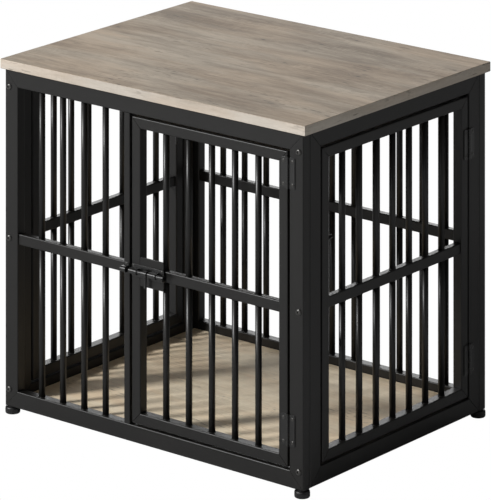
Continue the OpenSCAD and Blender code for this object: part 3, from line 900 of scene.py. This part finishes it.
class CRATE_OT_table_top(Operator):
    """Wood-grain table top with its edge band"""

    bl_idname = "crate.table_top"
    bl_label = "Table Top"

    def execute(self, context):
        top = board("table_top_board", "table_top", ["table_laminate", "table_edge_band"])
        place(top, "crate", "table_top", "table_top")
        return {"FINISHED"}


class CRATE_OT_floor_board(Operator):
    """Wood-grain floor board"""

    bl_idname = "crate.floor_board"
    bl_label = "Floor Board"

    def execute(self, context):
        bottom = board("floor_board_panel", "floor_board", ["floor_laminate"])
        place(bottom, "crate", "floor_board", "floor_board")
        return {"FINISHED"}


# ------------------------------------------------------------------ operators: hinges and screws

HINGE_H = 55 * MM
KNUCKLE_R = 2.5 * MM
KNUCKLE_GAP = 0.4 * MM
LEAF_T = 1.5 * MM
LEAF_W = 15 * MM
SCREW_IN = 10 * MM
SCREW_PITCH = 41 * MM
KNUCKLES = 5
BOLT_HEAD_R = 6 * MM
LATCH_SCREW_SIZE = 0.7  # against a hinge screw


def hinge_leaf(name, own, way):
    """One leaf round its pin: way is 1 for the leaf on the post and -1 for the one on the door."""
    bm = bmesh.new()
    start, half_gap = KNUCKLE_R + KNUCKLE_GAP, KNUCKLE_GAP / 2
    left = start if way > 0 else -LEAF_W
    plate(bm, box_frame((left, KNUCKLE_R, -HINGE_H / 2)), LEAF_W - start, HINGE_H, LEAF_T, 1.8 * MM)
    step = HINGE_H / KNUCKLES
    long = step - KNUCKLE_GAP
    for index in own:
        bottom = -HINGE_H / 2 + index * step + half_gap
        knuckle = ((0.0, KNUCKLE_R), (long, KNUCKLE_R))
        stack(bm, Matrix.Translation((0, 0, bottom)), knuckle, 28)
        web = (0.0 if way > 0 else -start - half_gap, KNUCKLE_R, bottom)
        plate(bm, box_frame(web), start + half_gap, long, LEAF_T, 0.1 * MM)
    return plain_object(name, bm, ["hardware_paint"], 0.28 * MM)


def screw_master():
    """Pan head with a cross recess, its underside at z = 0."""
    bm = bmesh.new()
    rim = in_mm((-0.4, 2.6), (0.0, 2.98), (0.28, 3.0), (0.52, 2.72), (0.7, 2.2), (0.78, 1.75))
    recess = [(0.78 * MM, cross(1.55 * MM, 0.62 * MM)), (0.2 * MM, cross(1.2 * MM, 0.5 * MM))]
    stack(bm, Matrix.Identity(4), rim + recess, 48)
    return plain_object("screw_master", bm, ["black_oxide"])


def bolt_master():
    """Button head with a hexagon socket, its underside at z = 0."""
    bm = bmesh.new()
    dome = in_mm((0.0, 6.0), (0.45, 6.0), (1.1, 5.75), (1.9, 5.05), (2.55, 4.05), (2.9, 3.1))
    mouth, wall = hexagon(2.55 * MM), hexagon(2.3 * MM)
    socket = [(2.95 * MM, mouth), (2.7 * MM, wall), (1.3 * MM, wall)]
    stack(bm, Matrix.Identity(4), dome + socket, 48)
    return plain_object("bolt_master", bm, ["black_oxide"])


def leaf_screw_places(side, way):
    """Screw heads of one side's post leaves (way 1) or door leaves (way -1)."""
    pin = hinge_pin(side)
    return [facing(panel_matrix(side), (pin.x + way * SCREW_IN, -LEAF_T, z + half))
            for z in hinge_heights(side) for half in (-SCREW_PITCH / 2, SCREW_PITCH / 2)]


class CRATE_OT_hinges(Operator):
    """Leaves and pins of the six butt hinges"""

    bl_idname = "crate.hinges"
    bl_label = "Hinges"

    def execute(self, context):
        post_leaf = hinge_leaf("post_leaf_master", (0, 2, 4), 1)
        door_leaf = hinge_leaf("door_leaf_master", (1, 3), -1)
        top = HINGE_H / 2
        pin_head = [(top + up * MM, radius * MM)
                    for up, radius in ((0.0, 2.2), (0.45, 2.15), (0.85, 1.5), (1.0, 0.5))]
        shaft = [(-top - 0.5 * MM, 0.9 * MM), (-top, 1.25 * MM), (top, 1.25 * MM)]
        bm = bmesh.new()
        stack(bm, Matrix.Identity(4), shaft + pin_head, 28)
        pin_shaft = plain_object("pin_master", bm, ["black_oxide"])
        places = {side: [panel_matrix(side) @ Matrix.Translation((*hinge_pin(side).xy, z))
                         for z in hinge_heights(side)] for side in DOORS}
        everywhere = sum(places.values(), [])
        placed_copies("post_hinge_leaves", post_leaf, everywhere, "hardware_paint",
                      "crate", "hinge_post_leaves")
        placed_copies("hinge_pin_shafts", pin_shaft, everywhere, "black_oxide",
                      "crate", "hinge_pins")
        for side in DOORS:
            placed_copies(f"{side}_door_hinge_leaves_painted", door_leaf, places[side],
                          "hardware_paint", f"{side}_door", f"{side}_hinge_door_leaves")
        for master in (post_leaf, door_leaf, pin_shaft):
            bpy.data.objects.remove(master)
        return {"FINISHED"}


class CRATE_OT_fasteners(Operator):
    """Corner bolts, hinge screws and latch screws"""

    bl_idname = "crate.fasteners"
    bl_label = "Bolts And Screws"

    def execute(self, context):
        bolt, screw = bolt_master(), screw_master()
        heads = []
        for side in ("front", "back"):
            low, high = panel_box("corner_bolts", side)
            for x in (low.x + BOLT_HEAD_R, high.x - BOLT_HEAD_R):
                for z in (low.z + BOLT_HEAD_R, (low.z + high.z) / 2, high.z - BOLT_HEAD_R):
                    heads.append(facing(panel_matrix(side), (x, 0, z)))
        placed_copies("corner_bolt_heads", bolt, heads, "black_oxide", "crate", "corner_bolts")

        posts = sum((leaf_screw_places(side, 1) for side in DOORS), [])
        placed_copies("post_hinge_screws", screw, posts, "black_oxide",
                      "crate", "hinge_post_screws")
        keepers = sum((latch_screw_places(side, "keeper") for side in DOORS), [])
        placed_copies("keeper_screw_heads", screw, keepers, "black_oxide",
                      "crate", "keeper_screws", size=LATCH_SCREW_SIZE)
        for side in DOORS:
            door = f"{side}_door"
            placed_copies(f"{door}_hinge_screws", screw, leaf_screw_places(side, -1), "black_oxide",
                          door, f"{door}_screws")
            placed_copies(f"{side}_latch_screw_heads", screw, latch_screw_places(side, "base"),
                          "black_oxide", door, size=LATCH_SCREW_SIZE)
        for master in (bolt, screw):
            bpy.data.objects.remove(master)
        return {"FINISHED"}


# ------------------------------------------------------------------ operators: latches

LATCH_BASE_T = 1.5 * MM
ROD_R = 3.5 * MM
GUIDE_BORE = 3.8 * MM
GUIDE_R = 5.3 * MM
GUIDE_SIDES = 40
LATCH_SCREW_Z = 8.4 * MM
KEEPER_L = 12 * MM
KEEPER_FROM_EDGE = 17 * MM


def latch_space(side):
    """Latch space to the row frame: mounting face at y = 0, -y away from it, rod along x."""
    low, high = panel_box(f"{side}_latch_base", side)
    middle = (low.z + high.z) / 2
    if side == "front":
        return panel_matrix(side) @ Matrix.Translation((0, high.y, middle))
    flip = Matrix.Diagonal((1, -1, 1, 1))
    return panel_matrix(side) @ Matrix.Translation((0, low.y, middle)) @ flip


def latch_box(node, side):
    """A node's lowest and highest corners in a side's latch space."""
    return box_in(latch_space(side), node)


def rod_axis(side):
    low, high = latch_box(f"{side}_latch_rod", side)
    return (low.y + high.y) / 2


def keeper_start(side):
    """Where the keeper starts along the latch."""
    if side == "front":
        return latch_box("front_keeper", side)[0].x
    return latch_box("right_posts", "right")[0].x + KEEPER_FROM_EDGE


def latch_screw_places(side, which):
    """Heads of the screws that hold a latch's base or its keeper."""
    matrix = latch_space(side)
    if which == "keeper":
        stations = [keeper_start(side) + KEEPER_L / 2]
    else:
        low, high = latch_box(f"{side}_latch_base", side)
        stations = [low.x + 4 * MM, high.x - 5 * MM] if side == "front" else [high.x - 5 * MM]
    return [facing(matrix, (x, -LATCH_BASE_T, z))
            for x in stations for z in (-LATCH_SCREW_Z, LATCH_SCREW_Z)]


def guide_reach(axis):
    """Outline of a guide block round its rod: round outside, square down to the base plate."""
    down = -axis - LATCH_BASE_T

    def reach(angle):
        towards_base = math.sin(angle)
        if towards_base <= 0:
            return GUIDE_R
        return min(GUIDE_R / max(abs(math.cos(angle)), 1e-6), down / towards_base)
    return reach


def guide(bm, matrix, axis, start, length):
    """A guide block with its bore, along x."""
    outer = guide_reach(axis)
    turns = [math.tau * i / GUIDE_SIDES for i in range(GUIDE_SIDES)]
    rings = []
    end = start + length
    for x, bored in ((start, False), (end, False), (end, True), (start, True)):
        points = []
        for angle in turns:
            radius = GUIDE_BORE if bored else outer(angle)
            points.append((x, axis + radius * math.sin(angle), radius * math.cos(angle)))
        rings.append(ring_of(bm, matrix, points))
    loft(bm, rings, close=True)


def base_plate(bm, matrix, low_x, length, height):
    origin = box_frame((low_x, 0, -height / 2))
    plate(bm, matrix @ origin, length, height, LATCH_BASE_T, 2.2 * MM)


def rod_part(bm, matrix, axis, start, rings, segments=32):
    """Rings along the rod's own line, from a start."""
    stack(bm, matrix @ along_x(start, axis, 0.0), rings, segments)


def rounded_end(radius, length, chamfer):
    """Rings of a rod with both its ends chamfered."""
    end = radius - chamfer
    return ((0.0, end), (chamfer, radius), (length - chamfer, radius), (length, end))


def build_latch(side, guides):
    """Base plate and guides, rod and handle of one latch."""
    matrix, axis, edge = latch_space(side), rod_axis(side), settings().hardware_edge
    body = f"{side}_door"
    low, high = latch_box(f"{side}_latch_base", side)
    height = high.z - low.z
    bm = bmesh.new()
    base_plate(bm, matrix, low.x, high.x - low.x, height)
    for start, length in guides:
        guide(bm, matrix, axis, low.x + start, length)
    place(plain_object(f"{side}_latch_guides", bm, ["hardware_paint"], edge, 3),
          body, "black_hardware", f"{side}_latch_base")

    low, high = latch_box(f"{side}_latch_rod", side)
    bm = bmesh.new()
    rod_part(bm, matrix, axis, low.x, rounded_end(ROD_R, high.x - low.x, 0.7 * MM))
    if side == "front":
        knob, outer, ridge = 5 * MM, 6 * MM, 0.35 * MM
        rings = in_mm((0.0, 5.2), (0.5, 6.0))
        for turn in (1.1 * MM, 2 * 1.1 * MM, 3 * 1.1 * MM):
            rings += [(turn - 0.2 * MM, outer), (turn, outer - ridge), (turn + 0.2 * MM, outer)]
        rings += [(knob - 0.6 * MM, outer), (knob, 5.2 * MM)]
        rod_part(bm, matrix, axis, high.x - knob, rings)
    place(plain_object(f"{side}_latch_sliding_rod", bm, ["hardware_paint"]),
          f"{side}_latch_rod_body", "black_hardware", f"{side}_latch_rod")

    low, high = latch_box(f"{side}_latch_handle", side)
    length = high.x - low.x
    bm = bmesh.new()
    collar = in_mm((0.0, 3.55), (0.0, 5.3), (0.7, 6.0))
    collar += [(length - z, radius) for z, radius in reversed(collar)]
    rod_part(bm, matrix, axis, low.x, collar, 36)
    middle = (low.x + high.x) / 2
    stem = matrix @ Matrix.Translation((middle, axis, low.z))
    ball = 3.1 * MM
    rings = [(ball - ball * math.cos(a), max(ball * math.sin(a), 0.05 * MM))
             for a in (math.radians(d) for d in range(6, 127, 12))]
    rings += in_mm((6.4, 1.95), (9, 2.15), (17, 2.5), (22, 3.1))
    stack(bm, stem, rings, 24)
    place(plain_object(f"{side}_latch_lever", bm, ["hardware_paint"]),
          f"{side}_latch_handle_body", "black_hardware", f"{side}_latch_handle")


def build_keepers(name, sides, node):
    """Keepers on the crate's own frame."""
    bm = bmesh.new()
    for side in sides:
        matrix, axis, start = latch_space(side), rod_axis(side), keeper_start(side)
        low, high = latch_box(f"{side}_latch_base", side)
        base_plate(bm, matrix, start, KEEPER_L, high.z - low.z)
        guide(bm, matrix, axis, start, KEEPER_L)
    place(plain_object(name, bm, ["hardware_paint"], settings().hardware_edge, 3),
          "crate", "black_hardware", node)


class CRATE_OT_front_latch(Operator):
    """Slide latch and keeper on the front"""

    bl_idname = "crate.front_latch"
    bl_label = "Front Latch"

    def execute(self, context):
        build_latch("front", ((1 * MM, 18 * MM), (46 * MM, 18 * MM)))
        build_keepers("front_latch_keeper", ("front",), "front_keeper")
        return {"FINISHED"}


class CRATE_OT_side_latches(Operator):
    """Slide latches and keepers inside the side doors"""

    bl_idname = "crate.side_latches"
    bl_label = "Side Latches"

    def execute(self, context):
        for side in ("right", "left"):
            build_latch(side, ((1 * MM, 9 * MM),))
        build_keepers("side_latch_keepers", ("right", "left"), "side_keepers")
        return {"FINISHED"}


# ------------------------------------------------------------------ operators: feet and nuts

COLLAR_RIBS = 24
THREAD_PITCH = 1.25 * MM
THREAD_CREST = 4.0 * MM
THREAD_ROOT = 3.45 * MM


def ribbed(radius):
    """Radius of a knurled collar's outline at an angle."""
    return lambda angle: radius + 0.3 * MM * (math.cos(COLLAR_RIBS * angle) > 0)


def pad_rings(radius):
    """A foot's pad: a bevelled sole, a groove under its lip, and a knurled collar."""
    profile = (
        (0.0, 2.2), (0.35, 1.2), (1.0, 0.5), (2.2, 0.1), (3.0, 0.0), (8.6, 0.0), (9.0, 0.5),
        (9.4, 0.5), (9.8, 0.1), (11.2, 0.5), (12.1, 1.4), (12.5, 2.8),
    )
    collar = ribbed(8.7 * MM)
    return [(z * MM, radius - inset * MM) for z, inset in profile] + [
        (12.5 * MM, collar), (13.9 * MM, collar), (14.0 * MM, 8.4 * MM)]


def stud_rings(height):
    """A foot's stud, with a ridge for each turn of its thread."""
    rings = [(13.5 * MM, THREAD_ROOT)]
    for turn in range(int((height - 15.5 * MM) / THREAD_PITCH)):
        z = 14.1 * MM + turn * THREAD_PITCH
        rings += [(z, THREAD_ROOT), (z + 0.45 * THREAD_PITCH, THREAD_CREST),
                  (z + 0.6 * THREAD_PITCH, THREAD_CREST)]
    return rings + [(height - 0.6 * MM, THREAD_ROOT), (height, THREAD_ROOT - 0.6 * MM)]


class CRATE_OT_feet(Operator):
    """Levelling feet: a moulded pad on a threaded stud"""

    bl_idname = "crate.feet"
    bl_label = "Feet"

    def execute(self, context):
        for corner in ("front_left", "front_right", "back_left", "back_right"):
            low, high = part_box(f"foot_{corner}")
            middle = (low + high) / 2
            base = Matrix.Translation((middle.x, middle.y, low.z))
            body = f"{corner}_foot"
            bm = bmesh.new()
            stack(bm, base, pad_rings((high.x - low.x) / 2), 96)
            pad = plain_object(f"pad_{corner}", bm, ["moulded_plastic"])
            place(pad, body, "feet", f"foot_{corner}")
            bm = bmesh.new()
            stack(bm, base, stud_rings(high.z - low.z), 24)
            place(plain_object(f"stud_{corner}", bm, ["zinc_plate"]), body, "feet")
        return {"FINISHED"}


class CRATE_OT_inner_hardware(Operator):
    """Finishes on the nuts, ledges, tabs and wood screws that keep their own shape"""

    bl_idname = "crate.inner_hardware"
    bl_label = "Inner Hardware"

    def execute(self, context):
        finishes = {
            "rivet_nuts": "zinc_plate",
            "foot_nuts": "zinc_plate",
            "top_screws": "zinc_plate",
            "floor_ledges": "powder_coat",
            "top_tabs": "powder_coat",
        }
        for node, finish in finishes.items():
            slots = frame["nodes"][node].data.materials
            slots.clear()
            slots.append(finish_of(finish))
        return {"FINISHED"}


# ------------------------------------------------------------------ operator: stage

# The camera stands at the front right, turned from straight on, with its film kept upright while
# it looks down. The last value is its focal length over the frame's height.
CAMERA_SPOT = Vector((4.945, -6.106, 2.714))
CAMERA_TURN = math.radians(38.997)
CAMERA_DROP = 0.306638
CAMERA_REACH = 8.4735
FILM_WIDTH = 36.0


# Each lamp's name, width and height, and place; all of them face the crate's middle.
LAMPS = (
    ("key", (1.1, 1.1), (-4.3, -6.6, 5.3)),
    ("front", (2.5, 1.8), (0.6, -4.2, 1.2)),
    ("side", (2.2, 2.2), (4.0, 0.9, 1.3)),
    ("rear", (2.4, 1.4), (-2.6, 3.5, 2.3)),
)
LAMP_TARGET = Vector((0.0, 0.0, 0.3))
FLOOR_SIZE = 60.0
FLOOR_DROP = 0.3 * MM


def area_lamp(name, power, size, spot):
    lamp = bpy.data.lights.new(name, "AREA")
    lamp.energy = power
    lamp.shape = "RECTANGLE"
    lamp.size, lamp.size_y = size
    stand = bpy.data.objects.new(name, lamp)
    stand.location = spot
    stand.rotation_euler = (LAMP_TARGET - Vector(spot)).to_track_quat("-Z", "Y").to_euler()
    bpy.context.scene.collection.objects.link(stand)


def shown_white(graph, lit, output, brightness):
    """Shows the camera an even white, while all other light meets the shader that is given."""
    seen = graph.add("ShaderNodeEmission", {}, {"Color": (1, 1, 1, 1), "Strength": brightness})
    path = graph.add("ShaderNodeLightPath").outputs["Is Camera Ray"]
    mixed = graph.add("ShaderNodeMixShader", {}, {0: path, 1: lit, 2: seen})
    graph.feed(output.inputs["Surface"], mixed)


def stage_camera():
    turn, drop_angle = CAMERA_TURN, math.atan(CAMERA_DROP)
    rightwards = Vector((math.cos(turn), math.sin(turn), 0))
    forwards = Vector((-math.sin(turn), math.cos(turn), 0))
    look = forwards * math.cos(drop_angle) - Vector((0, 0, 1)) * math.sin(drop_angle)
    upright = Matrix([
        (rightwards[i], (0, 0, 1)[i], -look[i], CAMERA_SPOT[i]) for i in range(3)
    ] + [(0, 0, 0, 1)])
    camera = bpy.data.objects.new("camera", bpy.data.cameras.new("camera"))
    tripod = bpy.data.objects.new("camera_tripod", None)
    for thing in (camera, tripod):
        bpy.context.scene.collection.objects.link(thing)
    camera.parent = tripod
    camera.matrix_parent_inverse = upright
    camera.data.sensor_width = FILM_WIDTH
    camera.data.lens = FILM_WIDTH * CAMERA_REACH / math.cos(drop_angle)
    camera.data.clip_end = 100.0
    bpy.context.scene.camera = camera


class CRATE_OT_stage(Operator):
    """Pale floor, studio lamps and camera"""

    bl_idname = "crate.stage"
    bl_label = "Stage"

    def execute(self, context):
        studio = context.scene.dog_crate_studio
        bpy.ops.mesh.primitive_plane_add(size=FLOOR_SIZE, location=(0, 0, -FLOOR_DROP))
        floor = context.object
        floor.name = "studio_floor"
        material, graph, shader, spot = new_material("studio_floor")
        shader.inputs["Base Color"].default_value = (0.6, 0.6, 0.6, 1)
        shader.inputs["Roughness"].default_value = 0.9
        shader.inputs["Specular IOR Level"].default_value = 0.1
        shown_white(graph, shader, material.node_tree.nodes["Material Output"], studio.backdrop)
        floor.data.materials.append(material)

        world = bpy.data.worlds.new("studio")
        context.scene.world = world
        world.use_nodes = True
        walls = world.node_tree.nodes["Background"]
        walls.inputs["Color"].default_value = (1, 1, 1, 1)
        walls.inputs["Strength"].default_value = studio.fill
        room = world.node_tree
        shown_white(Graph(room), walls, room.nodes["World Output"], studio.backdrop)

        for name, size, spot in LAMPS:
            area_lamp(f"{name}_lamp", getattr(studio, f"{name}_power"), size, spot)
        stage_camera()
        context.scene.view_settings.view_transform = "Standard"
        return {"FINISHED"}


class CRATE_PT_pieces(Panel):
    """Lists the operators in the order in which they run"""

    bl_label = "Dog Crate"
    bl_idname = "CRATE_PT_pieces"
    bl_space_type = "VIEW_3D"
    bl_region_type = "UI"
    bl_category = "Dog Crate"

    def draw(self, context):
        for operator in OPERATORS:
            self.layout.operator(operator.bl_idname)


OPERATORS = (
    CRATE_OT_outer_frames,
    CRATE_OT_door_frames,
    CRATE_OT_middle_tubes,
    CRATE_OT_bars,
    CRATE_OT_table_top,
    CRATE_OT_floor_board,
    CRATE_OT_hinges,
    CRATE_OT_fasteners,
    CRATE_OT_front_latch,
    CRATE_OT_side_latches,
    CRATE_OT_feet,
    CRATE_OT_inner_hardware,
    CRATE_OT_stage,
)
CLASSES = (CrateSizes, CrateColours, CrateStudio, *OPERATORS, CRATE_PT_pieces)


def register():
    for cls in CLASSES:
        bpy.utils.register_class(cls)
    bpy.types.Scene.dog_crate_sizes = PointerProperty(type=CrateSizes)
    bpy.types.Scene.dog_crate_colours = PointerProperty(type=CrateColours)
    bpy.types.Scene.dog_crate_studio = PointerProperty(type=CrateStudio)


def unregister():
    del bpy.types.Scene.dog_crate_sizes
    del bpy.types.Scene.dog_crate_colours
    del bpy.types.Scene.dog_crate_studio
    for cls in reversed(CLASSES):
        bpy.utils.unregister_class(cls)


def main():
    register()
    for operator in OPERATORS:
        group, action = operator.bl_idname.split(".")
        getattr(getattr(bpy.ops, group), action)()


if __name__ == "__main__":
    main()
